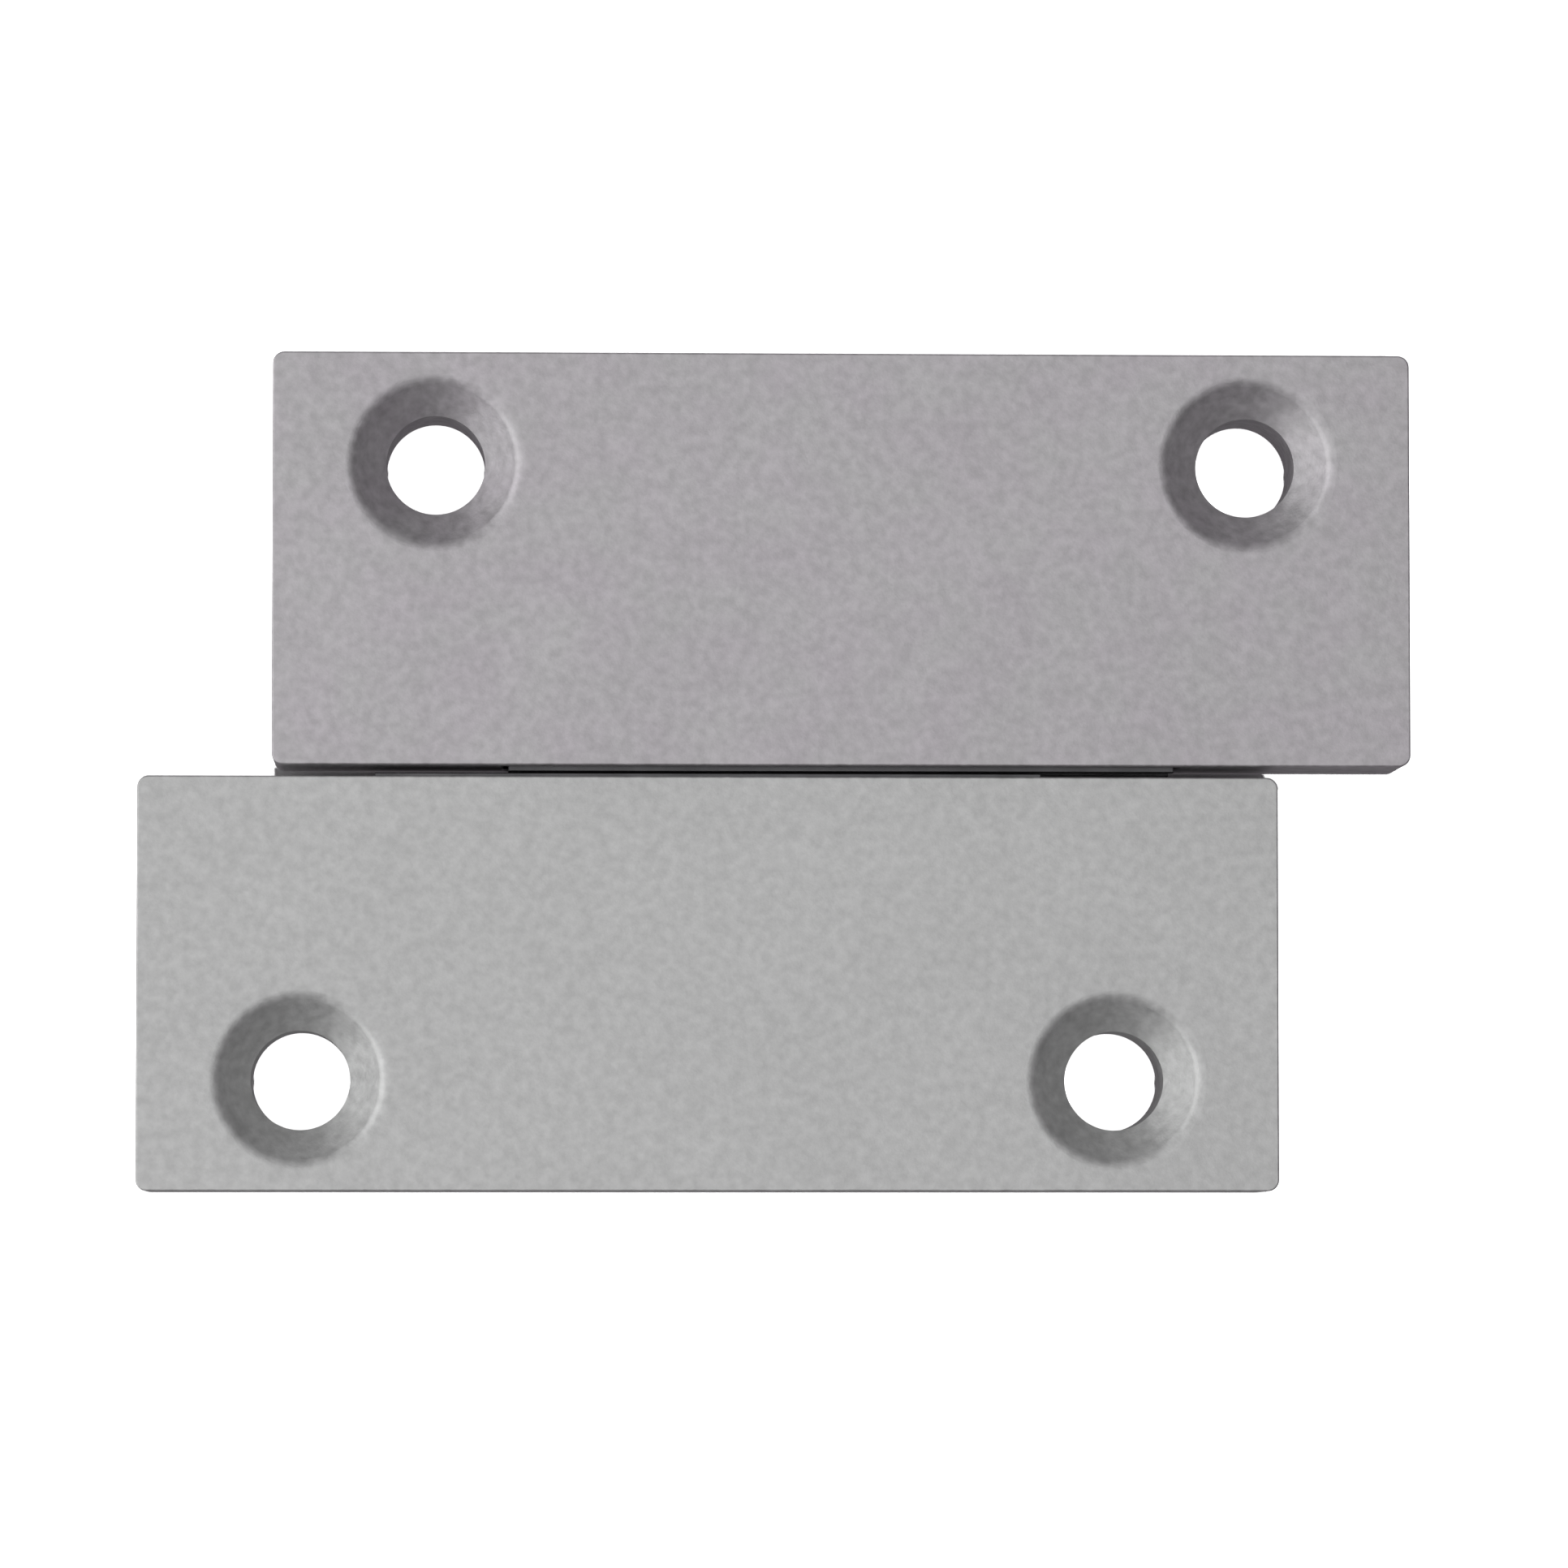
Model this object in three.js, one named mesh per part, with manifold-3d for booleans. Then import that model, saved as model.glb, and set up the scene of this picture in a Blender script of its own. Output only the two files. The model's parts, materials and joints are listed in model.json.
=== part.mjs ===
// Magnetic door lock: two equal metal halves that hold a door shut by magnets alone.
// One half is screwed to the door frame, the other to the door, long edge to long edge. Each half is
// a metal housing with two countersunk screw holes. A pocket milled into its back, closed by a screwed
// cover, holds a magnet pack: magnets in a plastic carrier between two steel pole plates, riveted
// together. The pack's nose looks out of a window in the long mating edge, and the pack floats a
// little in its pocket, so that the poles of both halves always bed flat on each other.
//
// Millimetres. +Z is up and out of the screwed-on face, X runs along the halves, and the two mating
// edges face each other across the plane Y = 0. The frame half is at +Y, the door half at -Y.

import * as THREE from "three";
import { mergeVertices } from "three/addons/utils/BufferGeometryUtils.js";
import Module from "manifold-3d";

const wasm = await Module();
wasm.setup();

// --- Driving dimensions ---------------------------------------------------------------------------

const LENGTH = 70; // of one half, along X
const WIDTH = 25.4; // of one half, along Y
const HEIGHT = 8; // of one half, along Z
const CORNER_R = 0.7; // upright corners
const EDGE_R = 0.15; // edges of the front and back faces
const MATING_GAP = 0.7; // between the two housings when the door is shut
const STAGGER = 8.2; // the frame half sits this far towards +X of the door half

const HOLE_SPACING = 50; // between the two fixing holes of a half
const HOLE_TO_EDGE = 6.8; // from a fixing hole to the long outer edge
const BORE_R = 3.05;
const SINK_R = 5.3; // a 90 degree countersink, at the front face

const FRONT_SKIN = 1.5; // metal left over the pocket
const MATING_WALL = 1.5; // metal between the pocket and the mating edge
const POCKET_LENGTH = 46.6;
const POCKET_DEPTH = 11.5; // along Y
const POCKET_CORNER_R = 1.5;
const WINDOW_LENGTH = 41.6;

const COVER_LENGTH = 58;
const COVER_WIDTH = 12.5;
const COVER_THICKNESS = 1;
const COVER_INSET = 0.1; // below the mounting face, and all round
const COVER_CORNER_R = 1.5;
const COVER_SCREW_SPACING = 52;
const COVER_SCREW_TO_EDGE = 2.6; // from a screw to either long edge of the cover

const PACK_LENGTH = 46;
const NOSE_LENGTH = 41;
const NOSE_PROUD = 0.3; // how far the poles stand out of the mating edge
const PACK_DEPTH = 9.2; // along Y, without the nose
const PACK_CHAMFER = 1; // clears the milled corners of the pocket
const POLE_THICKNESS = 1.2;
const CARRIER_THICKNESS = 2.8;
const CARRIER_NOSE_SET_BACK = 0.2; // the plastic stays behind the poles
const SLIDE_GAP = 0.1; // between the pack and the walls that it slides along

const MAGNET_COUNT = 3;
const MAGNET = { length: 12, depth: 7.6, thickness: 2.7 };
const CELL_GAP = 0.1; // all round a magnet in its cell
const CELL_WEB = 3; // plastic between two cells
const CELL_TO_FRONT = 0.6; // plastic in front of the cells, behind the shoulder

const RIVET_R = 0.8;
const RIVET_HEAD_R = 1.35;
const RIVET_INSET = 0.02; // the heads stay under the faces of the pole plates
const RIVET_CLEARANCE = 0.05;

const SCREW_R = 1;
const SCREW_HEAD_R = 1.9;
const SCREW_LENGTH = 4;
const SCREW_CLEARANCE = 0.1;
const CROSS = { length: 1.8, width: 0.4, depth: 0.7 };

const BUFFER = { length: 43, thickness: 1.2, height: 5 };
const BUFFER_GAP = 0.05; // to the pocket's rear wall

// --- Derived places, in the frame of one half -----------------------------------------------------
// Y = 0 is the mating edge and +Y runs into the housing; Z = 0 is the mounting face.

const HOLE_Y = WIDTH - HOLE_TO_EDGE;
const POCKET_TOP = HEIGHT - FRONT_SKIN;
const POCKET_END = MATING_WALL + POCKET_DEPTH;
const COVER_FRONT = MATING_WALL + COVER_INSET;
const COVER_TOP = COVER_INSET + COVER_THICKNESS;
const PACK_BOTTOM = COVER_TOP + SLIDE_GAP;
const PACK_FRONT = MATING_WALL + SLIDE_GAP; // the shoulder that stops the pack from falling out
const PACK_END = PACK_FRONT + PACK_DEPTH;
const CARRIER_BOTTOM = PACK_BOTTOM + POLE_THICKNESS;
const OUTER_POLE_BOTTOM = CARRIER_BOTTOM + CARRIER_THICKNESS;
const PACK_TOP = OUTER_POLE_BOTTOM + POLE_THICKNESS;
const CELL_LENGTH = MAGNET.length + 2 * CELL_GAP;
const CELL_PITCH = CELL_LENGTH + CELL_WEB;
const CELL_Y = PACK_FRONT + CELL_TO_FRONT + CELL_GAP + MAGNET.depth / 2;

const THROUGH = 1; // how far a cutter runs past the face that it opens
const BORE_SIDES = 48;
const SMALL_SIDES = 20;

const bothEnds = (distance) => [-distance / 2, distance / 2];
const coverScrewPlaces = bothEnds(COVER_SCREW_SPACING).flatMap((x) => [
  [x, COVER_FRONT + COVER_SCREW_TO_EDGE],
  [x, COVER_FRONT + COVER_WIDTH - COVER_SCREW_TO_EDGE],
]);
const magnetPlaces = Array.from({ length: MAGNET_COUNT }, (_, i) => [
  (i - (MAGNET_COUNT - 1) / 2) * CELL_PITCH,
  CELL_Y,
]);
const rivetPlaces = bothEnds(CELL_PITCH).map((x) => [x, CELL_Y]);

// --- Solids ---------------------------------------------------------------------------------------

// A three.js geometry as a manifold-3d solid.
function toSolid(geometry) {
  const bare = new THREE.BufferGeometry();
  bare.setAttribute("position", geometry.getAttribute("position"));
  bare.setIndex(geometry.index);
  const merged = mergeVertices(bare, 1e-4);
  return new wasm.Manifold(
    new wasm.Mesh({
      numProp: 3,
      vertProperties: merged.attributes.position.array,
      triVerts: new Uint32Array(merged.index.array),
    }),
  );
}

// A manifold-3d solid as a three.js geometry with flat faces.
function toGeometry(solid) {
  const mesh = solid.getMesh();
  const geometry = new THREE.BufferGeometry();
  geometry.setAttribute("position", new THREE.BufferAttribute(mesh.vertProperties, 3));
  geometry.setIndex(new THREE.BufferAttribute(mesh.triVerts, 1));
  const flat = geometry.toNonIndexed();
  flat.computeVertexNormals();
  return flat;
}

// The first geometry with all the others cut out of it.
function cut(base, ...cutters) {
  let solid = toSolid(base);
  for (const cutter of cutters) solid = solid.subtract(toSolid(cutter));
  return toGeometry(solid);
}

// A rectangle from y = front to y = front + depth, centred on x = 0, with round corners.
function roundedRectangle(length, front, depth, radius) {
  const [left, right] = bothEnds(length);
  const back = front + depth;
  const shape = new THREE.Shape();
  shape.absarc(right - radius, front + radius, radius, -Math.PI / 2, 0);
  shape.absarc(right - radius, back - radius, radius, 0, Math.PI / 2);
  shape.absarc(left + radius, back - radius, radius, Math.PI / 2, Math.PI);
  shape.absarc(left + radius, front + radius, radius, Math.PI, 1.5 * Math.PI);
  return shape;
}

// A flat shape given thickness, from z = bottom to z = top.
function plate(shape, bottom, top, curveSegments = 4) {
  const options = { depth: top - bottom, bevelEnabled: false, curveSegments };
  return new THREE.ExtrudeGeometry(shape, options).translate(0, 0, bottom);
}

// A plain block, centred on x, that starts at y = front and z = bottom.
function block(x, front, bottom, length, depth, height) {
  const box = new THREE.BoxGeometry(length, depth, height);
  return box.translate(x, front + depth / 2, bottom + height / 2);
}

// A body of revolution about an upright axis at (x, y). The profile is a list of [radius, z] from the
// bottom up, and is closed on the axis at both ends.
function turned(x, y, profile, sides = SMALL_SIDES) {
  const [bottom, top] = [profile[0][1], profile.at(-1)[1]];
  const points = [[0, bottom], ...profile, [0, top]].map(([r, z]) => new THREE.Vector2(r, z));
  return new THREE.LatheGeometry(points, sides).rotateX(Math.PI / 2).translate(x, y, 0);
}

// A straight shaft with a 45 degree countersunk head at its lower end.
function sunkFromBelow(x, y, bottom, headR, shaftR, top) {
  const cone = headR - shaftR;
  return turned(x, y, [
    [headR, bottom],
    [shaftR, bottom + cone],
    [shaftR, top],
  ]);
}

// --- Parts of one half ----------------------------------------------------------------------------

function housing() {
  const body = new THREE.ExtrudeGeometry(
    roundedRectangle(LENGTH - 2 * EDGE_R, EDGE_R, WIDTH - 2 * EDGE_R, CORNER_R - EDGE_R),
    {
      depth: HEIGHT - 2 * EDGE_R,
      bevelThickness: EDGE_R,
      bevelSize: EDGE_R,
      bevelSegments: 3,
      curveSegments: 3,
    },
  ).translate(0, 0, EDGE_R);
  const fixingHoles = bothEnds(HOLE_SPACING).map((x) =>
    turned(
      x,
      HOLE_Y,
      [
        [BORE_R, -THROUGH],
        [BORE_R, HEIGHT - (SINK_R - BORE_R)],
        [SINK_R, HEIGHT],
        [SINK_R, HEIGHT + THROUGH],
      ],
      BORE_SIDES,
    ),
  );
  const pocket = plate(
    roundedRectangle(POCKET_LENGTH, MATING_WALL, POCKET_DEPTH, POCKET_CORNER_R),
    -THROUGH,
    POCKET_TOP,
  );
  const window = block(
    0,
    -THROUGH,
    COVER_TOP,
    WINDOW_LENGTH,
    THROUGH + MATING_WALL + POCKET_CORNER_R,
    POCKET_TOP - COVER_TOP,
  );
  const coverSeat = plate(
    roundedRectangle(
      COVER_LENGTH + 2 * COVER_INSET,
      MATING_WALL,
      COVER_WIDTH + 2 * COVER_INSET,
      COVER_CORNER_R + COVER_INSET,
    ),
    -THROUGH,
    COVER_TOP,
  );
  const tappedHoles = coverScrewPlaces.map(([x, y]) =>
    turned(x, y, [
      [SCREW_R + SCREW_CLEARANCE, 0],
      [SCREW_R + SCREW_CLEARANCE, SCREW_LENGTH + 2 * THROUGH],
    ]),
  );
  return cut(body, ...fixingHoles, pocket, window, coverSeat, ...tappedHoles);
}

function rearCover() {
  const sheet = plate(
    roundedRectangle(COVER_LENGTH, COVER_FRONT, COVER_WIDTH, COVER_CORNER_R),
    COVER_INSET,
    COVER_TOP,
  );
  const screwHoles = coverScrewPlaces.map(([x, y]) =>
    sunkFromBelow(
      x,
      y,
      0,
      SCREW_HEAD_R + 2 * SCREW_CLEARANCE,
      SCREW_R + SCREW_CLEARANCE,
      COVER_TOP + THROUGH,
    ),
  );
  return cut(sheet, ...screwHoles);
}

function coverScrew([x, y]) {
  const bottom = COVER_INSET / 2 + SCREW_CLEARANCE;
  const screw = sunkFromBelow(x, y, bottom, SCREW_HEAD_R, SCREW_R, bottom + SCREW_LENGTH);
  const slots = [
    [CROSS.length, CROSS.width],
    [CROSS.width, CROSS.length],
  ].map(([length, depth]) =>
    block(x, y - depth / 2, bottom - THROUGH, length, depth, THROUGH + CROSS.depth),
  );
  return cut(screw, ...slots);
}

// The outline that the pole plates and the carrier share: a body with chamfered corners, and in front
// of it a narrower nose that reaches y = noseFront.
function packOutline(noseFront) {
  const side = PACK_LENGTH / 2;
  const nose = NOSE_LENGTH / 2;
  const right = [
    [nose, noseFront],
    [nose, PACK_FRONT],
    [side - PACK_CHAMFER, PACK_FRONT],
    [side, PACK_FRONT + PACK_CHAMFER],
    [side, PACK_END - PACK_CHAMFER],
    [side - PACK_CHAMFER, PACK_END],
  ];
  const left = right.map(([x, y]) => [-x, y]).reverse();
  return new THREE.Shape([...right, ...left].map(([x, y]) => new THREE.Vector2(x, y)));
}

// The outer plate lies over the magnets, towards the front face, and the inner plate under them.
// Both have their rivet heads on the side away from the magnets.
function polePlate(isOuter) {
  const bottom = isOuter ? OUTER_POLE_BOTTOM : PACK_BOTTOM;
  const top = bottom + POLE_THICKNESS;
  const sheet = plate(packOutline(-NOSE_PROUD), bottom, top);
  const holeR = RIVET_R + RIVET_CLEARANCE;
  const sinkR = RIVET_HEAD_R + RIVET_CLEARANCE;
  const sink = sinkR - holeR;
  const headUp = [
    [holeR, bottom - THROUGH],
    [holeR, top - sink],
    [sinkR, top],
    [sinkR, top + THROUGH],
  ];
  const headDown = [
    [sinkR, bottom - THROUGH],
    [sinkR, bottom],
    [holeR, bottom + sink],
    [holeR, top + THROUGH],
  ];
  const rivetHoles = rivetPlaces.map(([x, y]) => turned(x, y, isOuter ? headUp : headDown));
  return cut(sheet, ...rivetHoles);
}

function magnetCarrier() {
  const top = OUTER_POLE_BOTTOM;
  const frame = plate(packOutline(CARRIER_NOSE_SET_BACK - NOSE_PROUD), CARRIER_BOTTOM, top);
  const cellDepth = MAGNET.depth + 2 * CELL_GAP;
  const cells = magnetPlaces.map(([x, y]) =>
    block(
      x,
      y - cellDepth / 2,
      CARRIER_BOTTOM - THROUGH,
      CELL_LENGTH,
      cellDepth,
      CARRIER_THICKNESS + 2 * THROUGH,
    ),
  );
  const rivetHoles = rivetPlaces.map(([x, y]) =>
    turned(x, y, [
      [RIVET_R + RIVET_CLEARANCE, CARRIER_BOTTOM - THROUGH],
      [RIVET_R + RIVET_CLEARANCE, top + THROUGH],
    ]),
  );
  return cut(frame, ...cells, ...rivetHoles);
}

function magnet([x, y]) {
  const bottom = CARRIER_BOTTOM + (CARRIER_THICKNESS - MAGNET.thickness) / 2;
  const { length, depth, thickness } = MAGNET;
  return block(x, y - depth / 2, bottom, length, depth, thickness);
}

function packRivet([x, y]) {
  const bottom = PACK_BOTTOM + RIVET_INSET;
  const top = PACK_TOP - RIVET_INSET;
  const cone = RIVET_HEAD_R - RIVET_R;
  return turned(x, y, [
    [RIVET_HEAD_R, bottom],
    [RIVET_R, bottom + cone],
    [RIVET_R, top - cone],
    [RIVET_HEAD_R, top],
  ]);
}

function bufferStrip() {
  const front = POCKET_END - BUFFER_GAP - BUFFER.thickness;
  const bottom = (COVER_TOP + POCKET_TOP - BUFFER.height) / 2;
  return block(0, front, bottom, BUFFER.length, BUFFER.thickness, BUFFER.height);
}

// --- Materials ------------------------------------------------------------------------------------

const material = (color, metalness, roughness) =>
  new THREE.MeshStandardMaterial({ color, metalness, roughness });

const blastedAluminium = material(0xababac, 0.7, 0.65);
const coverAluminium = material(0x9fa0a1, 0.8, 0.5);
const blackenedSteel = material(0x5f5f61, 0.9, 0.45);
const magnetNickel = material(0xc4c4c6, 1, 0.2);
const blackPlastic = material(0x1b1c1e, 0, 0.6);
const brass = material(0xb9974f, 1, 0.35);
const zincedSteel = material(0xa9adb1, 1, 0.35);
const blackRubber = material(0x161616, 0, 0.85);

// --- Assembly -------------------------------------------------------------------------------------

// One complete half. Every mesh's name starts with the prefix.
function half(prefix) {
  const group = new THREE.Group();
  const add = (name, geometry, itsMaterial) => {
    const mesh = new THREE.Mesh(geometry, itsMaterial);
    mesh.name = `${prefix}_${name}`;
    group.add(mesh);
  };
  const addEach = (name, places, make, itsMaterial) =>
    places.forEach((place, i) => add(`${name}_${i + 1}`, make(place), itsMaterial));

  add("housing", housing(), blastedAluminium);
  add("rear_cover", rearCover(), coverAluminium);
  addEach("cover_screw", coverScrewPlaces, coverScrew, zincedSteel);
  add("outer_pole_plate", polePlate(true), blackenedSteel);
  add("inner_pole_plate", polePlate(false), blackenedSteel);
  add("magnet_carrier", magnetCarrier(), blackPlastic);
  addEach("magnet", magnetPlaces, magnet, magnetNickel);
  addEach("pack_rivet", rivetPlaces, packRivet, brass);
  add("buffer_strip", bufferStrip(), blackRubber);
  return group;
}

const frameHalf = half("frame");
frameHalf.position.set(STAGGER / 2, MATING_GAP / 2, 0);

const doorHalf = half("door");
doorHalf.rotation.z = Math.PI;
doorHalf.position.set(-STAGGER / 2, -MATING_GAP / 2, 0);

const lock = new THREE.Group();
lock.add(frameHalf, doorHalf);

export default lock;
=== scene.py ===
"""Looks of a magnetic door lock: fine meshes, materials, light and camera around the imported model.

Each piece is drawn in millimetres in the frame of one half lying alone: x runs along the half, y = 0
is its mating edge with +y running into it, and z = 0 is its mounting face. Half.to_row then puts
it into the row frame, in metres. Outlines run anticlockwise.
"""

import json
import math

import bmesh
import bpy
from mathutils import Matrix, Vector

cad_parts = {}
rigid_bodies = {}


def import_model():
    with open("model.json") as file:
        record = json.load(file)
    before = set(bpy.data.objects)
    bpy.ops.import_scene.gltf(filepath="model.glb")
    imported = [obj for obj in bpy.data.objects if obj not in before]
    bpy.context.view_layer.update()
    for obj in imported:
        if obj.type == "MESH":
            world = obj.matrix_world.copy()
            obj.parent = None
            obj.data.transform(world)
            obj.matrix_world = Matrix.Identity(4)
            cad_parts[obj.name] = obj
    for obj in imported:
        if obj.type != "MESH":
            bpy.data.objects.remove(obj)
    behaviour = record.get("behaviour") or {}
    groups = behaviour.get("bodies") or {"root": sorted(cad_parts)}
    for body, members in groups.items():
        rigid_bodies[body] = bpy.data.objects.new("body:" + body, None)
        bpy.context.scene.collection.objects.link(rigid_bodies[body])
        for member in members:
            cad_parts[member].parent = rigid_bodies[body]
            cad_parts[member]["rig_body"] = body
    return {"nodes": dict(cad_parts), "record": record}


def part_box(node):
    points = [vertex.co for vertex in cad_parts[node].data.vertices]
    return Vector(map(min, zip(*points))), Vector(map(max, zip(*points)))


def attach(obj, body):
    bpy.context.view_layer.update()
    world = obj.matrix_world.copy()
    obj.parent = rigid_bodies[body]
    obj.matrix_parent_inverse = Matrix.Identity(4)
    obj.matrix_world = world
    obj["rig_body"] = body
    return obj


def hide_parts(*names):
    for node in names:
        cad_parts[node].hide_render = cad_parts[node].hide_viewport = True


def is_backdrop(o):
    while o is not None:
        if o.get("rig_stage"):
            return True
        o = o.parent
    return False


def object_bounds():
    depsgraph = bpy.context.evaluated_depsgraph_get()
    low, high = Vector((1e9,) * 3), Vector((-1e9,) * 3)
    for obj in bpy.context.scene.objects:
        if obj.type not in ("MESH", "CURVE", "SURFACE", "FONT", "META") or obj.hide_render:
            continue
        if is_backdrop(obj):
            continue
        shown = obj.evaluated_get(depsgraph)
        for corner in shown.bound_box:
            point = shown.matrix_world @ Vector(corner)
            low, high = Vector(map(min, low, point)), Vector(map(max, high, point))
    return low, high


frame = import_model()
cad_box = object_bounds()

# --- Sizes, in millimetres ------------------------------------------------------------------------

MM = 0.001
HOUSING_EDGE_R = 0.12
HOUSING_CORNER_R = 0.7
BORE_R = 3.05
SINK_R = 5.15  # of the countersink, where its cone would meet the front face
SINK_SLOPE = math.radians(45)
SINK_RIM_R = 1.1  # rounds the countersink's rim
RIM_MARGIN = 0.05  # how far the cutter runs on past the rim,
RIM_LIFT = 0.005  # and how much it has risen there, so that it cuts the rim cleanly
BORE_MOUTH = 0.25  # chamfer of the bore at the mounting face
FRONT_SKIN = 1.5
MATING_WALL = 1.5
POCKET_LENGTH = 46.6
POCKET_DEPTH = 11.5
POCKET_CORNER_R = 1.5
WINDOW_LENGTH = 41.6
WINDOW_CORNER_R = 0.5
BROKEN_EDGE = 0.12

COVER_GAP = 0.1
COVER_CORNER_R = 1.5
SCREW_R = 1.0
SCREW_HOLE_R = 1.1
DRILL_POINT = 0.5  # height of the cone at the end of a tapped hole
DRILL_TIP_R = SCREW_HOLE_R / 8
SCREW_SINK_R = 2.05
SCREW_RIM = 0.08  # straight edge of the head, between its face and its cone
SCREW_RIM_BREAK = 0.02
SCREW_POINT = 0.5
THREAD_PITCH = 0.4
THREAD_DEPTH = 0.2
THREAD_ROWS = 6  # rings of points in one turn of the thread
CROSS_AT_FACE = (0.92, 0.2)  # half the length and half the width of a blade of the cross recess
CROSS_AT_END = (0.5, 0.11)
CROSS_DEPTH = 0.8
CROSS_CORNER_STEPS = 3

PACK_CHAMFER = 1.0
NOSE_LENGTH = 41.0
SLIDE_GAP = 0.1
RIVET_R = 0.8
RIVET_HEAD_R = 1.35
RIVET_CLEARANCE = 0.05
RIVET_EDGE = 0.04
RIVET_DIMPLE_R = 0.55
RIVET_DIMPLE_DEPTH = 0.12
RIVET_DIMPLE = ((0.35, 1.0), (0.8, 0.6), (1.0, 0.0))  # shares of its radius and depth, outwards
CELL_GAP = 0.1
CELL_CORNER_R = 0.3
CELL_CORNER_STEPS = 4
POLE_EDGE = 0.05
CARRIER_EDGE = 0.2
MAGNET_EDGE = 0.35
BUFFER_EDGE = 0.25
CORNER_OVER_EDGE = 0.05  # a block's upright corners are this much rounder than its other edges

# The numbers in the names of a half's repeated pieces.
COVER_SCREWS = (1, 2, 3, 4)
MAGNETS = (1, 2, 3)
RIVETS = (1, 2)

PAST = 1.0  # how far a cutter runs past the face that it opens
FILLET_STEPS = 6
CORNER_STEPS = 8
BORE_SIDES = 128
SMALL_SIDES = 48
SHARP_ANGLE = math.radians(38)


# --- The two halves -------------------------------------------------------------------------------


class Half:
    """One of the two equal halves, with the way from its own frame into the row frame."""

    def __init__(self, name, turn):
        self.name = name
        low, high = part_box(f"{name}_housing")
        mating_y = high.y if turn else low.y
        self.to_row = (
            Matrix.Translation(((low.x + high.x) / 2, mating_y, low.z))
            @ Matrix.Rotation(turn, 4, "Z")
            @ Matrix.Scale(MM, 4)
        )

    def box(self, node):
        """Lowest and highest corner of a CAD node, in this half's own frame."""
        to_half = self.to_row.inverted()
        a, b = (to_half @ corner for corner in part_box(f"{self.name}_{node}"))
        return Vector(map(min, a, b)), Vector(map(max, a, b))

    def middle(self, node):
        low, high = self.box(node)
        return (low + high) / 2

    def screw_holes(self):
        """The axes of the two fixing holes, in this half's own frame."""
        to_half = self.to_row.inverted()
        for opening in frame["record"]["physics"]["openings"]:
            if opening["name"].startswith(self.name):
                low, high = (Vector(corner) for corner in opening["box_m"])
                yield to_half @ ((low + high) / 2)


# --- Outlines and closed solids -------------------------------------------------------------------


def arc(x, y, radius, start, stop, steps):
    """Points on a circle about (x, y), from one angle to the other, in degrees."""
    angles = [math.radians(start + (stop - start) * i / steps) for i in range(steps + 1)]
    return [(x + radius * math.cos(a), y + radius * math.sin(a)) for a in angles]


def rounded_rectangle(left, right, front, back, radius, steps=CORNER_STEPS):
    """A rectangle with round corners."""
    return (
        arc(right - radius, front + radius, radius, -90, 0, steps)
        + arc(right - radius, back - radius, radius, 0, 90, steps)
        + arc(left + radius, back - radius, radius, 90, 180, steps)
        + arc(left + radius, front + radius, radius, 180, 270, steps)
    )


def inset(outline, distance):
    """The outline moved inwards by a distance, or outwards where it is negative."""
    moved = []
    for before, here, after in zip(outline[-1:] + outline[:-1], outline, outline[1:] + outline[:1]):
        first = (Vector(here) - Vector(before)).normalized().orthogonal()
        second = (Vector(after) - Vector(here)).normalized().orthogonal()
        step = (first + second) * distance / (1 + first.dot(second))
        moved.append((here[0] + step.x, here[1] + step.y))
    return moved


def stacked(name, rings):
    """A closed solid over rings of points, each with the same number of points, from the bottom up."""
    shape = bmesh.new()
    rows = [[shape.verts.new(point) for point in ring] for ring in rings]
    shape.faces.new(reversed(rows[0]))
    shape.faces.new(rows[-1])
    for lower, upper in zip(rows, rows[1:]):
        for i in range(len(lower)):
            shape.faces.new((lower[i - 1], lower[i], upper[i], upper[i - 1]))
    mesh = bpy.data.meshes.new(name)
    shape.to_mesh(mesh)
    shape.free()
    made = bpy.data.objects.new(name, mesh)
    bpy.context.scene.collection.objects.link(made)
    return made


def plate(name, outline, levels):
    """A solid with the outline's shape. Each level is (height, how far the outline is drawn in)."""
    return stacked(name, [[(x, y, z) for x, y in inset(outline, d)] for z, d in levels])


def rings_of(x, y, profile, sides):
    """Rings of points about an upright axis at (x, y), from a profile of (radius, height)."""
    return [[(px, py, z) for px, py in arc(x, y, r, 0, 360, sides)[:-1]] for r, z in profile]


def turned(name, x, y, profile, sides=SMALL_SIDES):
    """A solid of revolution about an upright axis at (x, y), from a profile of (radius, height)."""
    return stacked(name, rings_of(x, y, profile, sides))


def rounded(bottom, top, radius):
    """Levels of a plate from bottom to top with both edges rounded."""
    angles = [math.radians(90 * i / FILLET_STEPS) for i in range(FILLET_STEPS + 1)]
    edge = [(radius * (1 - math.cos(a)), radius * (1 - math.sin(a))) for a in angles]
    lower = [(bottom + depth, drawn_in) for depth, drawn_in in edge]
    upper = [(top - depth, drawn_in) for depth, drawn_in in reversed(edge)]
    return lower + upper


def chamfered(bottom, top, width):
    """Levels of a plate from bottom to top with both edges broken."""
    return [(bottom, width), (bottom + width, 0), (top - width, 0), (top, width)]


def cut(body, *cutters):
    """Takes the cutters out of the body, and deletes them."""
    for cutter in cutters:
        modifier = body.modifiers.new("cut", "BOOLEAN")
        modifier.operation = "DIFFERENCE"
        modifier.solver = "EXACT"
        modifier.object = cutter
    bpy.context.view_layer.update()
    evaluated = body.evaluated_get(bpy.context.evaluated_depsgraph_get())
    mesh = bpy.data.meshes.new_from_object(evaluated)
    body.modifiers.clear()
    body.data = mesh
    for cutter in cutters:
        bpy.data.objects.remove(cutter)
    return body


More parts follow.
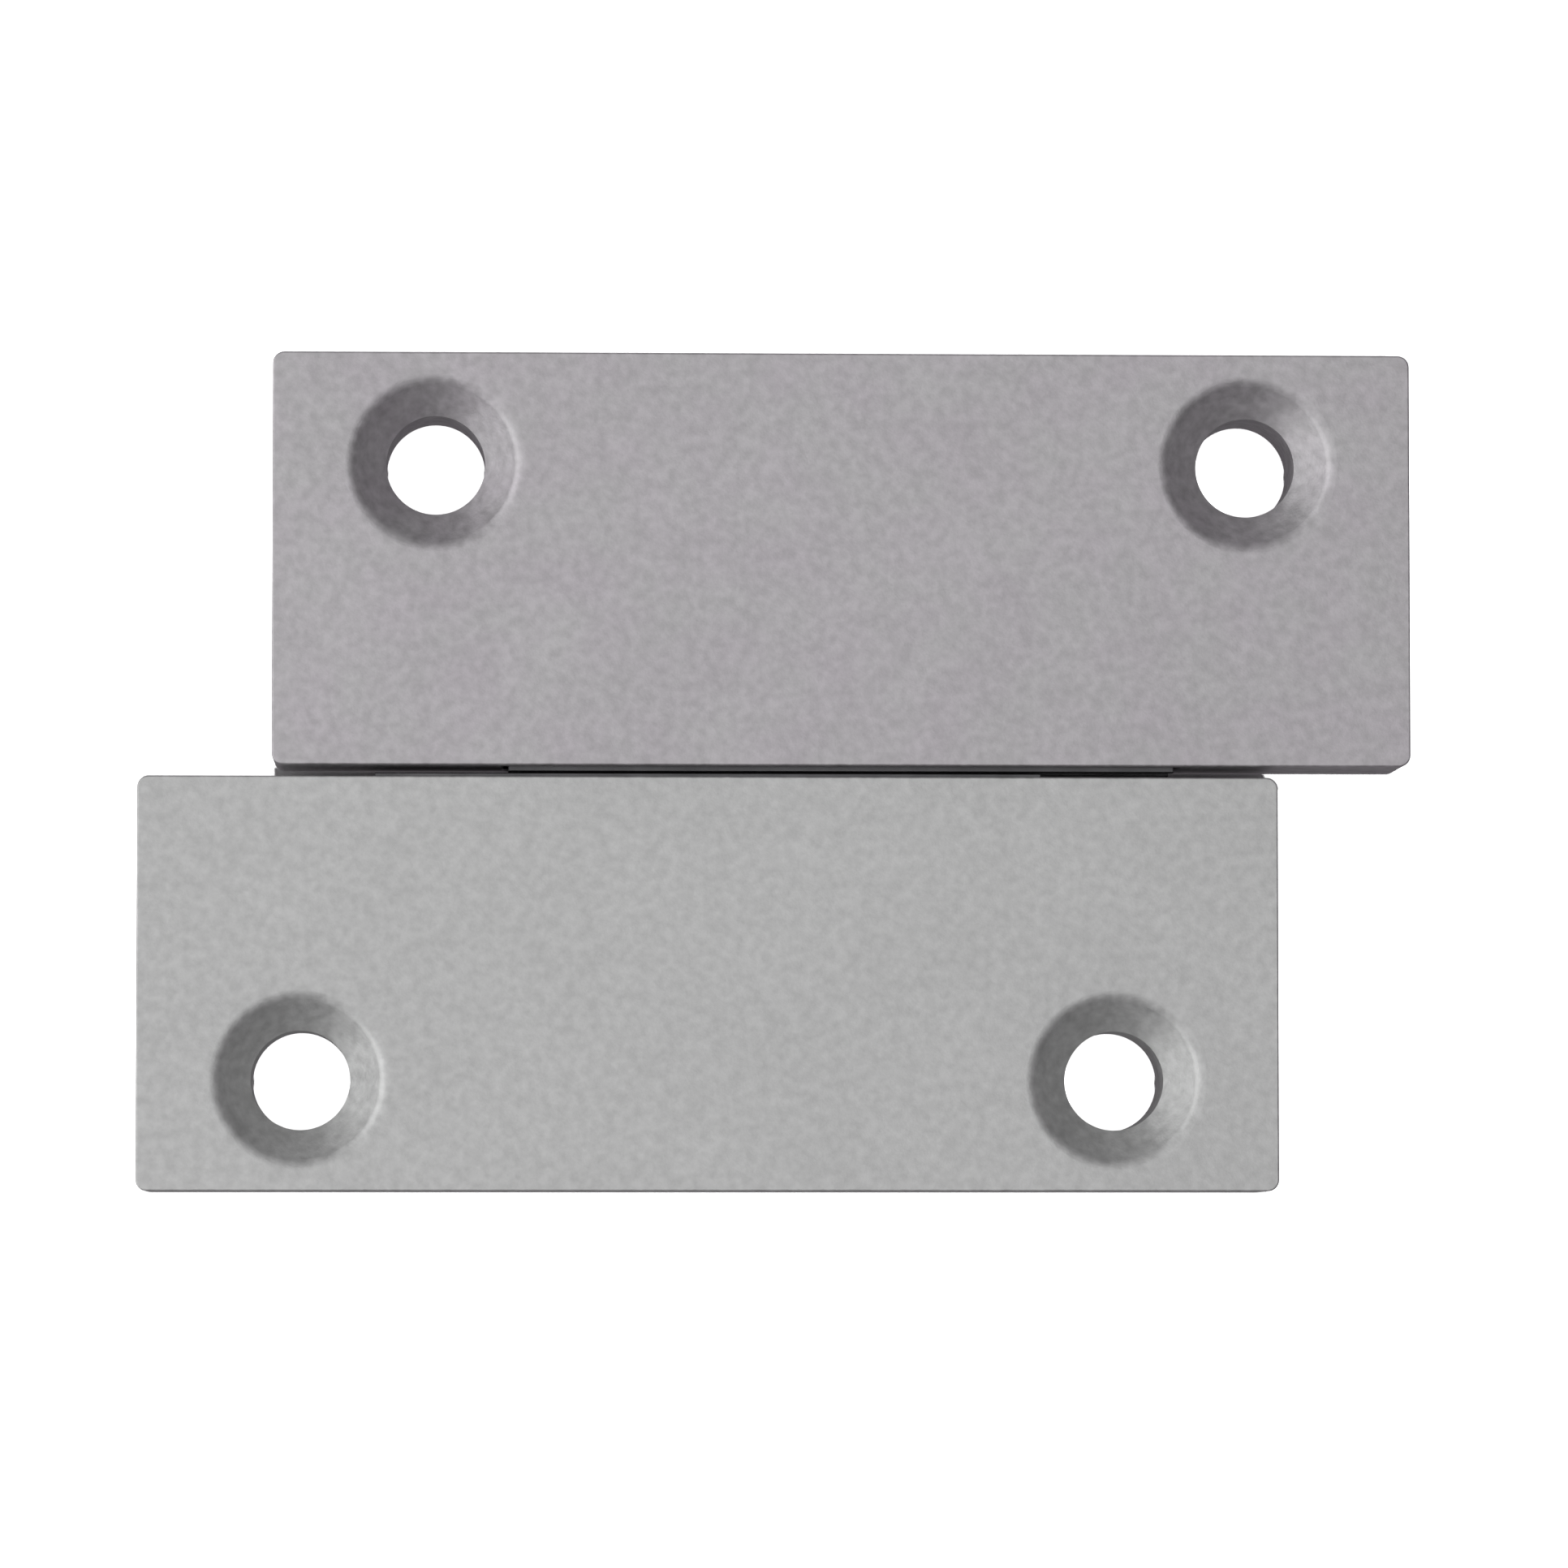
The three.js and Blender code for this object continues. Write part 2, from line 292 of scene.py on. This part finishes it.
def smooth(body):
    """Shades the body smoothly, except across its sharp edges, with its flat faces kept flat."""
    shape = bmesh.new()
    shape.from_mesh(body.data)
    for face in shape.faces:
        face.smooth = True
    for edge in shape.edges:
        edge.smooth = edge.calc_face_angle(math.pi) < SHARP_ANGLE
    shape.to_mesh(body.data)
    shape.free()
    weighted = body.modifiers.new("weighted", "WEIGHTED_NORMAL")
    weighted.keep_sharp = True
    return body


# --- Pieces of one half ---------------------------------------------------------------------------


def fixing_hole(x, y, top):
    """Cutter of a fixing hole: a bore with a broken lower edge and a countersink with a round rim."""
    rim_end = SINK_R + SINK_RIM_R * math.tan(SINK_SLOPE / 2)
    rim = []
    for i in range(FILLET_STEPS):
        angle = SINK_SLOPE * (1 - i / FILLET_STEPS)
        rim.append((rim_end - SINK_RIM_R * math.sin(angle), top - SINK_RIM_R * (1 - math.cos(angle))))
    profile = [
        (BORE_R + BORE_MOUTH + PAST, -PAST),
        (BORE_R, BORE_MOUTH),
        (BORE_R, top - (SINK_R - BORE_R)),
        *rim,
        (rim_end + RIM_MARGIN, top + RIM_LIFT),
        (rim_end + RIM_MARGIN, top + PAST),
    ]
    return turned("cutter", x, y, profile, BORE_SIDES)


def housing(half, name):
    low, high = half.box("housing")
    cover_low, cover_high = half.box("rear_cover")
    top = high.z
    pocket_top = top - FRONT_SKIN
    body = plate(
        name,
        rounded_rectangle(low.x, high.x, low.y, high.y, HOUSING_CORNER_R),
        rounded(low.z, high.z, HOUSING_EDGE_R),
    )
    holes = [fixing_hole(axis.x, axis.y, top) for axis in half.screw_holes()]
    pocket = plate(
        "cutter",
        rounded_rectangle(
            -POCKET_LENGTH / 2,
            POCKET_LENGTH / 2,
            MATING_WALL,
            MATING_WALL + POCKET_DEPTH,
            POCKET_CORNER_R,
        ),
        [(-PAST, 0), (pocket_top - BROKEN_EDGE, 0), (pocket_top, BROKEN_EDGE)],
    )
    seat = plate(
        "cutter",
        rounded_rectangle(
            cover_low.x - COVER_GAP,
            cover_high.x + COVER_GAP,
            cover_low.y - COVER_GAP,
            cover_high.y + COVER_GAP,
            COVER_CORNER_R + COVER_GAP,
        ),
        [(-PAST, -PAST - BROKEN_EDGE), (BROKEN_EDGE, 0), (cover_high.z, 0)],
    )
    return smooth(cut(body, *holes, pocket, seat, window(cover_high.z, pocket_top), *tapped_holes(half)))


def window(bottom, top):
    """Cutter of the window in the mating edge, with round corners and a broken outer edge."""
    outline = rounded_rectangle(-WINDOW_LENGTH / 2, WINDOW_LENGTH / 2, bottom, top, WINDOW_CORNER_R)
    inner_end = MATING_WALL + POCKET_CORNER_R
    levels = [(-inner_end, 0), (-BROKEN_EDGE, 0), (PAST, -PAST - BROKEN_EDGE)]
    cutter = plate("cutter", outline, levels)
    cutter.data.transform(Matrix.Rotation(math.radians(90), 4, "X"))
    return cutter


def tapped_holes(half):
    """Cutters of the four holes that the cover's screws go into."""
    for i in COVER_SCREWS:
        low, high = half.box(f"cover_screw_{i}")
        axis = (low + high) / 2
        end = high.z + PAST
        profile = [(SCREW_HOLE_R, 0), (SCREW_HOLE_R, end), (DRILL_TIP_R, end + DRILL_POINT)]
        yield turned("cutter", axis.x, axis.y, profile)


def rear_cover(half, name):
    low, high = half.box("rear_cover")
    sheet = plate(
        name,
        rounded_rectangle(low.x, high.x, low.y, high.y, COVER_CORNER_R),
        chamfered(low.z, high.z, BROKEN_EDGE),
    )
    cone = SCREW_SINK_R - SCREW_HOLE_R
    holes = []
    for i in COVER_SCREWS:
        axis = half.middle(f"cover_screw_{i}")
        profile = [
            (SCREW_SINK_R + PAST, low.z - PAST),
            (SCREW_SINK_R, low.z),
            (SCREW_HOLE_R, low.z + cone),
            (SCREW_HOLE_R, high.z + PAST),
        ]
        holes.append(turned("cutter", axis.x, axis.y, profile))
    return smooth(cut(sheet, *holes))


def thread_radius(turn, z, top):
    """Radius of a V thread at a share of a turn and a height, run out to a point at the top."""
    wave = (z / THREAD_PITCH - turn) % 1
    radius = SCREW_R - THREAD_DEPTH * abs(2 * wave - 1)
    return min(radius, SCREW_R - SCREW_POINT + (top - z))


def cross_recess(x, y, face):
    """Cutters of a tapered cross recess that opens at a downward face."""
    sections = ((CROSS_AT_FACE, -PAST), (CROSS_AT_FACE, 0), (CROSS_AT_END, CROSS_DEPTH))
    for turn in (0, 90):
        rings = []
        for (length, width), z in sections:
            outline = rounded_rectangle(-length, length, -width, width, width / 2, CROSS_CORNER_STEPS)
            rings.append([(px, py, z) for px, py in outline])
        blade = stacked("cutter", rings)
        place = Matrix.Translation((x, y, face)) @ Matrix.Rotation(math.radians(turn), 4, "Z")
        blade.data.transform(place)
        yield blade


def thread(x, y, start, end):
    """Rings of points of a V thread about an upright axis."""
    rows = math.ceil((end - start) / THREAD_PITCH * THREAD_ROWS)
    for row in range(rows + 1):
        height = (end - start) * row / rows
        ring = []
        for side in range(SMALL_SIDES):
            turn = side / SMALL_SIDES
            angle = 2 * math.pi * turn
            radius = thread_radius(turn, height, end - start)
            ring.append((x + radius * math.cos(angle), y + radius * math.sin(angle), start + height))
        yield ring


def cover_screw(half, name, node):
    low, high = half.box(node)
    x, y = half.middle(node).xy
    head_r = (high.x - low.x) / 2
    neck = low.z + SCREW_RIM + (head_r - SCREW_R)
    profile = [
        (head_r - SCREW_RIM, low.z),
        (head_r - SCREW_RIM_BREAK, low.z + SCREW_RIM_BREAK),
        (head_r, low.z + SCREW_RIM),
        (SCREW_R - THREAD_DEPTH / 2, neck + THREAD_DEPTH / 2),
    ]
    head = rings_of(x, y, profile, SMALL_SIDES)
    screw = stacked(name, [*head, *thread(x, y, neck + THREAD_DEPTH, high.z)])
    return smooth(cut(screw, *cross_recess(x, y, low.z)))


def pack_outline(low, high):
    """The pole plates' and the carrier's outline: a chamfered body with a narrower nose in front."""
    shoulder = MATING_WALL + SLIDE_GAP
    nose = NOSE_LENGTH / 2
    right = [
        (nose, low.y),
        (nose, shoulder),
        (high.x - PACK_CHAMFER, shoulder),
        (high.x, shoulder + PACK_CHAMFER),
        (high.x, high.y - PACK_CHAMFER),
        (high.x - PACK_CHAMFER, high.y),
    ]
    return right + [(-x, y) for x, y in reversed(right)]


def pole_plate(half, name, node):
    low, high = half.box(node)
    is_outer = node.startswith("outer")
    sheet = plate(name, pack_outline(low, high), chamfered(low.z, high.z, POLE_EDGE))
    hole_r = RIVET_R + RIVET_CLEARANCE
    sink_r = RIVET_HEAD_R + RIVET_CLEARANCE
    face, back, out = (high.z, low.z, 1) if is_outer else (low.z, high.z, -1)
    profile = [
        (hole_r, back - out * PAST),
        (hole_r, face - out * (sink_r - hole_r)),
        (sink_r + PAST, face + out * PAST),
    ]
    if not is_outer:
        profile.reverse()
    holes = []
    for i in RIVETS:
        axis = half.middle(f"pack_rivet_{i}")
        holes.append(turned("cutter", axis.x, axis.y, profile))
    return smooth(cut(sheet, *holes))


def magnet_carrier(half, name):
    low, high = half.box("magnet_carrier")
    body = plate(name, pack_outline(low, high), chamfered(low.z, high.z, CARRIER_EDGE))
    cutters = []
    for i in MAGNETS:
        cell_low, cell_high = half.box(f"magnet_{i}")
        outline = rounded_rectangle(
            cell_low.x - CELL_GAP,
            cell_high.x + CELL_GAP,
            cell_low.y - CELL_GAP,
            cell_high.y + CELL_GAP,
            CELL_CORNER_R,
            CELL_CORNER_STEPS,
        )
        cutters.append(plate("cutter", outline, [(low.z - PAST, 0), (high.z + PAST, 0)]))
    hole_r = RIVET_R + RIVET_CLEARANCE
    for i in RIVETS:
        axis = half.middle(f"pack_rivet_{i}")
        ends = [(hole_r, low.z - PAST), (hole_r, high.z + PAST)]
        cutters.append(turned("cutter", axis.x, axis.y, ends))
    return smooth(cut(body, *cutters))


def magnet(half, name, node):
    low, high = half.box(node)
    outline = rounded_rectangle(low.x, high.x, low.y, high.y, MAGNET_EDGE + CORNER_OVER_EDGE)
    return smooth(plate(name, outline, rounded(low.z, high.z, MAGNET_EDGE)))


def pack_rivet(half, name, node):
    """A rivet with both heads set into the pole plates, each with the dimple of the setting tool."""
    low, high = half.box(node)
    x, y = half.middle(node).xy
    neck = low.z + RIVET_EDGE + (RIVET_HEAD_R - RIVET_R)
    lower = [
        *((RIVET_DIMPLE_R * out, low.z + RIVET_DIMPLE_DEPTH * up) for out, up in RIVET_DIMPLE),
        (RIVET_HEAD_R - RIVET_EDGE, low.z),
        (RIVET_HEAD_R, low.z + RIVET_EDGE),
        (RIVET_R, neck),
    ]
    upper = [(r, low.z + high.z - z) for r, z in reversed(lower)]
    return smooth(turned(name, x, y, lower + upper))


def buffer_strip(half, name):
    low, high = half.box("buffer_strip")
    outline = rounded_rectangle(low.x, high.x, low.y, high.y, BUFFER_EDGE + CORNER_OVER_EDGE)
    return smooth(plate(name, outline, rounded(low.z, high.z, BUFFER_EDGE)))


# --- Materials ------------------------------------------------------------------------------------

NOISE_TURN = (0.5, 0.6, 0.7)  # turns the noise's own grid away from the part's flat faces


class Nodes:
    """Shader nodes under construction, of a material or of the world."""

    def __init__(self, owner):
        owner.use_nodes = True
        self.tree = owner.node_tree

    def add(self, kind, **settings):
        node = self.tree.nodes.new(kind)
        for key, value in settings.items():
            setattr(node, key, value)
        return node

    def set(self, socket, value):
        """Gives an input a number, a colour or another node's output."""
        if isinstance(value, bpy.types.NodeSocket):
            self.tree.links.new(value, socket)
        else:
            socket.default_value = value

    def between(self, factor, low, high, start=0.3, stop=0.7):
        """A number that runs from low to high as the factor runs from start to stop."""
        node = self.add("ShaderNodeMapRange")
        for socket, value in zip(node.inputs, (factor, start, stop, low, high)):
            self.set(socket, value)
        return node.outputs["Result"]

    def times(self, first, second):
        node = self.add("ShaderNodeMath", operation="MULTIPLY")
        self.set(node.inputs[0], first)
        self.set(node.inputs[1], second)
        return node.outputs["Value"]

    def mixed(self, factor, first, second):
        """A colour that runs from the first to the second as the factor runs from 0 to 1."""
        node = self.add("ShaderNodeMix", data_type="RGBA")
        self.set(node.inputs["Factor"], factor)
        for socket, colour in zip((s for s in node.inputs if s.type == "RGBA"), (first, second)):
            socket.default_value = (*colour, 1)
        return next(s for s in node.outputs if s.type == "RGBA")


class Shader(Nodes):
    """A procedural material under construction, patterned in the row frame."""

    def __init__(self, name):
        self.material = bpy.data.materials.new(name)
        super().__init__(self.material)
        self.surface = self.tree.nodes["Principled BSDF"]
        self.place = self.add("ShaderNodeTexCoord").outputs["Object"]

    def noise(self, size, detail, stretch=(1, 1, 1)):
        """Noise from 0 to 1 with features of a size in millimetres, longer along a stretched axis."""
        mapping = self.add("ShaderNodeMapping")
        self.set(mapping.inputs["Vector"], self.place)
        mapping.inputs["Scale"].default_value = [1 / (size * MM * s) for s in stretch]
        mapping.inputs["Rotation"].default_value = NOISE_TURN
        noise = self.add("ShaderNodeTexNoise")
        noise.inputs["Scale"].default_value = 1.0
        noise.inputs["Detail"].default_value = detail
        self.set(noise.inputs["Vector"], mapping.outputs["Vector"])
        return noise.outputs["Fac"]

    def tinted(self, colour, brightness):
        """A colour scaled by a varying brightness."""
        node = self.add("ShaderNodeVectorMath", operation="SCALE")
        self.set(node.inputs[0], colour)
        self.set(node.inputs["Scale"], brightness)
        return node.outputs["Vector"]

    def bump(self, height, depth):
        """A normal from a height of 0 to 1 that is this many millimetres deep."""
        node = self.add("ShaderNodeBump")
        node.inputs["Distance"].default_value = depth * MM
        self.set(node.inputs["Height"], height)
        return node.outputs["Normal"]

    def finish(self, **inputs):
        """Sets the surface's inputs, written with _ for a space, and returns the material."""
        for name, value in inputs.items():
            self.set(self.surface.inputs[name.replace("_", " ")], value)
        return self.material


def blasted_aluminium(name, cool, warm, contrast):
    """Bead-blasted and clear anodised: an even matt grain, slightly mottled in brightness and hue."""
    shader = Shader(name)
    patches = shader.noise(9.0, 1.0)
    clouds = shader.noise(4.0, 5.0)
    mottle = shader.noise(0.65, 3.0)
    grain = shader.noise(0.16, 2.0)
    brightness = shader.times(
        shader.between(patches, 0.985, 1.015),
        shader.between(mottle, 1 - contrast, 1 + contrast),
    )
    hue = shader.mixed(shader.between(clouds, 0.0, 1.0), cool, warm)
    return shader.finish(
        Base_Color=shader.tinted(hue, brightness),
        Metallic=1.0,
        Roughness=shader.between(mottle, 0.53, 0.6),
        Normal=shader.bump(grain, 0.012),
    )


def brushed_aluminium(name, colour):
    """Sheet brushed lengthwise, with a clear anodised surface."""
    shader = Shader(name)
    strokes = shader.noise(0.08, 3.0, stretch=(120, 1, 1))
    cloud = shader.noise(6.0, 2.0)
    brightness = shader.times(
        shader.between(strokes, 0.94, 1.06),
        shader.between(cloud, 0.98, 1.02),
    )
    return shader.finish(
        Base_Color=shader.tinted(colour, brightness),
        Metallic=1.0,
        Roughness=shader.between(strokes, 0.32, 0.46),
        Normal=shader.bump(strokes, 0.006),
    )


def plated_steel(name, colour, roughness, strokes_along):
    """Ground and plated steel, with its grinding marks showing through the plating."""
    shader = Shader(name)
    strokes = shader.noise(0.06, 3.0, stretch=strokes_along)
    stains = shader.noise(2.5, 3.0)
    brightness = shader.times(
        shader.between(strokes, 0.93, 1.05),
        shader.between(stains, 0.96, 1.03),
    )
    return shader.finish(
        Base_Color=shader.tinted(colour, brightness),
        Metallic=1.0,
        Roughness=shader.between(stains, roughness * 0.85, roughness * 1.2),
        Normal=shader.bump(strokes, 0.004),
    )


def nickel(name, colour):
    """Bright nickel on a sintered magnet, with the faint orange peel of barrel plating."""
    shader = Shader(name)
    peel = shader.noise(0.35, 2.0)
    return shader.finish(
        Base_Color=shader.tinted(colour, shader.between(peel, 0.97, 1.02)),
        Metallic=1.0,
        Roughness=shader.between(peel, 0.14, 0.22),
        Normal=shader.bump(peel, 0.004),
    )


def moulded_plastic(name, colour):
    """Black moulded plastic with a spark-eroded texture."""
    shader = Shader(name)
    texture = shader.noise(0.12, 3.0)
    scuffs = shader.noise(1.8, 3.0)
    brightness = shader.times(
        shader.between(texture, 0.85, 1.15),
        shader.between(scuffs, 0.9, 1.2),
    )
    return shader.finish(
        Base_Color=shader.tinted(colour, brightness),
        Roughness=shader.between(scuffs, 0.48, 0.62),
        Normal=shader.bump(texture, 0.012),
    )


def rubber(name, colour):
    """Closed-cell rubber, with fine pores."""
    shader = Shader(name)
    pores = shader.noise(0.1, 4.0)
    bloom = shader.noise(2.2, 2.0)
    return shader.finish(
        Base_Color=shader.tinted(colour, shader.between(bloom, 0.85, 1.25)),
        Roughness=shader.between(pores, 0.75, 0.95),
        Normal=shader.bump(pores, 0.02),
    )


def brass(name, colour):
    """Turned brass, slightly tarnished."""
    shader = Shader(name)
    tarnish = shader.noise(0.8, 3.0)
    marks = shader.noise(0.05, 2.0)
    return shader.finish(
        Base_Color=shader.tinted(colour, shader.between(tarnish, 0.85, 1.05)),
        Metallic=1.0,
        Roughness=shader.between(tarnish, 0.26, 0.4),
        Normal=shader.bump(marks, 0.003),
    )


# --- Putting the pieces together ------------------------------------------------------------------

part_only = bpy.data.collections.new("part_only")  # what the softboxes light
floor_only = bpy.data.collections.new("floor_only")  # what the floor lamps light


def use(half, node, piece, material):
    """Puts a finished piece in the CAD node's place, on the node's body."""
    name = f"{half.name}_{node}"
    piece.data.transform(half.to_row)
    piece.data.materials.clear()
    piece.data.materials.append(material)
    part_only.objects.link(piece)
    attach(piece, frame["nodes"][name]["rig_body"])
    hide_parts(name)


def build(half, housing_material, materials):
    """Builds all pieces of one half."""

    def fine(node):
        return f"fine_{half.name}_{node}"

    use(half, "housing", housing(half, fine("housing")), housing_material)
    use(half, "rear_cover", rear_cover(half, fine("rear_cover")), materials["cover"])
    for i in COVER_SCREWS:
        node = f"cover_screw_{i}"
        use(half, node, cover_screw(half, fine(node), node), materials["screw"])
    for node in ("outer_pole_plate", "inner_pole_plate"):
        use(half, node, pole_plate(half, fine(node), node), materials["pole"])
    use(half, "magnet_carrier", magnet_carrier(half, fine("magnet_carrier")), materials["carrier"])
    for i in MAGNETS:
        node = f"magnet_{i}"
        use(half, node, magnet(half, fine(node), node), materials["magnet"])
    for i in RIVETS:
        node = f"pack_rivet_{i}"
        use(half, node, pack_rivet(half, fine(node), node), materials["rivet"])
    use(half, "buffer_strip", buffer_strip(half, fine("buffer_strip")), materials["buffer"])


materials = {
    "cover": brushed_aluminium("cover_aluminium", (0.62, 0.625, 0.63)),
    "screw": plated_steel("zinc_plated_steel", (0.63, 0.64, 0.66), 0.32, (1, 1, 8)),
    # The pole plates are dark phosphated steel. How dark is set so that the joint between the halves
    # looks as dark as the shade in it, so their colour is in part painted shade.
    "pole": plated_steel("pole_steel", (0.15, 0.15, 0.155), 0.42, (1, 1, 60)),
    "carrier": moulded_plastic("carrier_plastic", (0.03, 0.03, 0.033)),
    "magnet": nickel("magnet_nickel", (0.74, 0.73, 0.71)),
    "rivet": brass("rivet_brass", (0.72, 0.55, 0.25)),
    "buffer": rubber("buffer_rubber", (0.025, 0.025, 0.025)),
}
# Both halves have the same bead-blasted finish. The door half's grey is made lighter than the frame
# half's: painted light, standing in for more light falling on the door half.
frame_grey = blasted_aluminium("frame_aluminium", (0.637, 0.611, 0.638), (0.637, 0.629, 0.638), 0.14)
door_grey = blasted_aluminium("door_aluminium", (0.686, 0.692, 0.686), (0.689, 0.695, 0.689), 0.125)
build(Half("frame", 0.0), frame_grey, materials)
build(Half("door", math.pi), door_grey, materials)

# --- Floor, light and camera, in metres -----------------------------------------------------------

FLOOR_SIZE = 8.0
FLOOR_DROP = 0.00002
FLOOR_COLOUR = (0.86, 0.86, 0.86, 1.0)
FLOOR_ROUGHNESS = 0.9
FLOOR_LAMP_POWER = 3.6
FLOOR_LAMP_LEAN = math.radians(7)
FLOOR_LAMP_ANGLE = math.radians(1)

# The surroundings' brightness and tint, first as the camera sees them, then as they light the part.
HORIZON = 0.95
HORIZON_TINT = (1.0, 1.0, 1.0)
AMBIENT_TINT = (1.0, 0.94, 1.0)
AMBIENT_ABOVE = 0.095  # above the horizon
AMBIENT_FLOOR = 0.27  # where a pale floor would be seen
AMBIENT_NADIR = 0.1  # straight down
NADIR = -1.0  # these three are heights on a sphere of radius 1 about the part
FLOOR_NEAR = -0.3
FLOOR_FAR = -0.1

# Place, width, length and power in watts.
SOFTBOXES = {
    "overhead_softbox": ((-0.02, 0.0, 0.9), 0.8, 0.8, 2.05),
    "left_softbox": ((-0.7, 0.0, 0.39), 0.45, 1.6, 4.25),
    "back_fill": ((0.0, 0.61, 0.51), 0.65, 0.65, 0.36),
    "front_fill": ((0.0, -0.61, 0.51), 0.65, 0.65, 0.2),
    "right_fill": ((0.61, 0.0, 0.51), 0.65, 0.65, 0.12),
}

# The camera stands almost over the part, a little towards its left and its front, and looks at its
# centre.
CAMERA_PLACE = (-0.0186, -0.0304, 0.508)
CAMERA_TARGET = (0.0005, -0.0008, 0.008)
CAMERA_LENS = 187.6  # for a sensor 36 mm wide
CAMERA_CLIP = 0.01


def floor():
    """A plain pale floor just under the part. It doesn't throw its own light back at the part."""
    side = FLOOR_SIZE / 2
    mesh = bpy.data.meshes.new("floor")
    corners = [(-side, -side), (side, -side), (side, side), (-side, side)]
    mesh.from_pydata([(x, y, -FLOOR_DROP) for x, y in corners], [], [(0, 1, 2, 3)])
    made = bpy.data.objects.new("floor", mesh)
    bpy.context.scene.collection.objects.link(made)
    shader = Shader("floor")
    mesh.materials.append(shader.finish(Base_Color=FLOOR_COLOUR, Roughness=FLOOR_ROUGHNESS))
    made.visible_diffuse = False
    made.visible_glossy = False
    floor_only.objects.link(made)
    made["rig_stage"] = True


def aimed(name, data, place, target=(0, 0, 0)):
    """A lamp or camera at a place, looking at a target with the row frame's +Y upwards."""
    made = bpy.data.objects.new(name, data)
    bpy.context.scene.collection.objects.link(made)
    back = (Vector(place) - Vector(target)).normalized()
    right = Vector((0, 1, 0)).cross(back).normalized()
    turn = Matrix((right, back.cross(right), back)).transposed()
    made.matrix_world = Matrix.Translation(place) @ turn.to_4x4()
    return made


def softbox(name, place, width, length, power):
    """A soft lamp that lights the part only. On the left, its length runs along the row frame's Y."""
    lamp = bpy.data.lights.new(name, "AREA")
    lamp.shape = "RECTANGLE"
    lamp.size = width
    lamp.size_y = length
    lamp.energy = power
    aimed(name, lamp, place).light_linking.receiver_collection = part_only


def floor_lamps():
    """Two suns that lean a little to either side, so that the floor is pale all round the part and
    in the screw holes, but not in the narrow joint between the halves."""
    for name, lean in (("front_floor_lamp", -FLOOR_LAMP_LEAN), ("rear_floor_lamp", FLOOR_LAMP_LEAN)):
        lamp = bpy.data.lights.new(name, "SUN")
        lamp.energy = FLOOR_LAMP_POWER
        lamp.angle = FLOOR_LAMP_ANGLE
        aimed(name, lamp, (0, math.tan(lean), 1)).light_linking.receiver_collection = floor_only


def world():
    """Dim light from above, a pale floor's light from below, and a pale horizon for the camera."""
    made = bpy.data.worlds.new("world")
    sky = Nodes(made)
    split = sky.add("ShaderNodeSeparateXYZ")
    sky.set(split.inputs["Vector"], sky.add("ShaderNodeTexCoord").outputs["Generated"])
    height = split.outputs["Z"]
    seen = sky.add("ShaderNodeLightPath").outputs["Is Camera Ray"]
    below = sky.between(height, AMBIENT_NADIR, AMBIENT_FLOOR, NADIR, FLOOR_NEAR)
    ambient = sky.between(height, below, AMBIENT_ABOVE, FLOOR_FAR, 0.0)
    background = sky.tree.nodes["Background"]
    sky.set(background.inputs["Strength"], sky.between(seen, ambient, HORIZON, 0.0, 1.0))
    sky.set(background.inputs["Color"], sky.mixed(seen, AMBIENT_TINT, HORIZON_TINT))
    bpy.context.scene.world = made


def camera():
    lens = bpy.data.cameras.new("camera")
    lens.lens = CAMERA_LENS
    lens.clip_start = CAMERA_CLIP
    bpy.context.scene.camera = aimed("camera", lens, CAMERA_PLACE, CAMERA_TARGET)
    bpy.context.scene.view_settings.view_transform = "Standard"


world()
floor()
floor_lamps()
for name, (place, width, length, power) in SOFTBOXES.items():
    softbox(name, place, width, length, power)
camera()

boxes = {"cad": cad_box, "visual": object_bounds()}
{name: [list(low), list(high)] for name, (low, high) in boxes.items()}
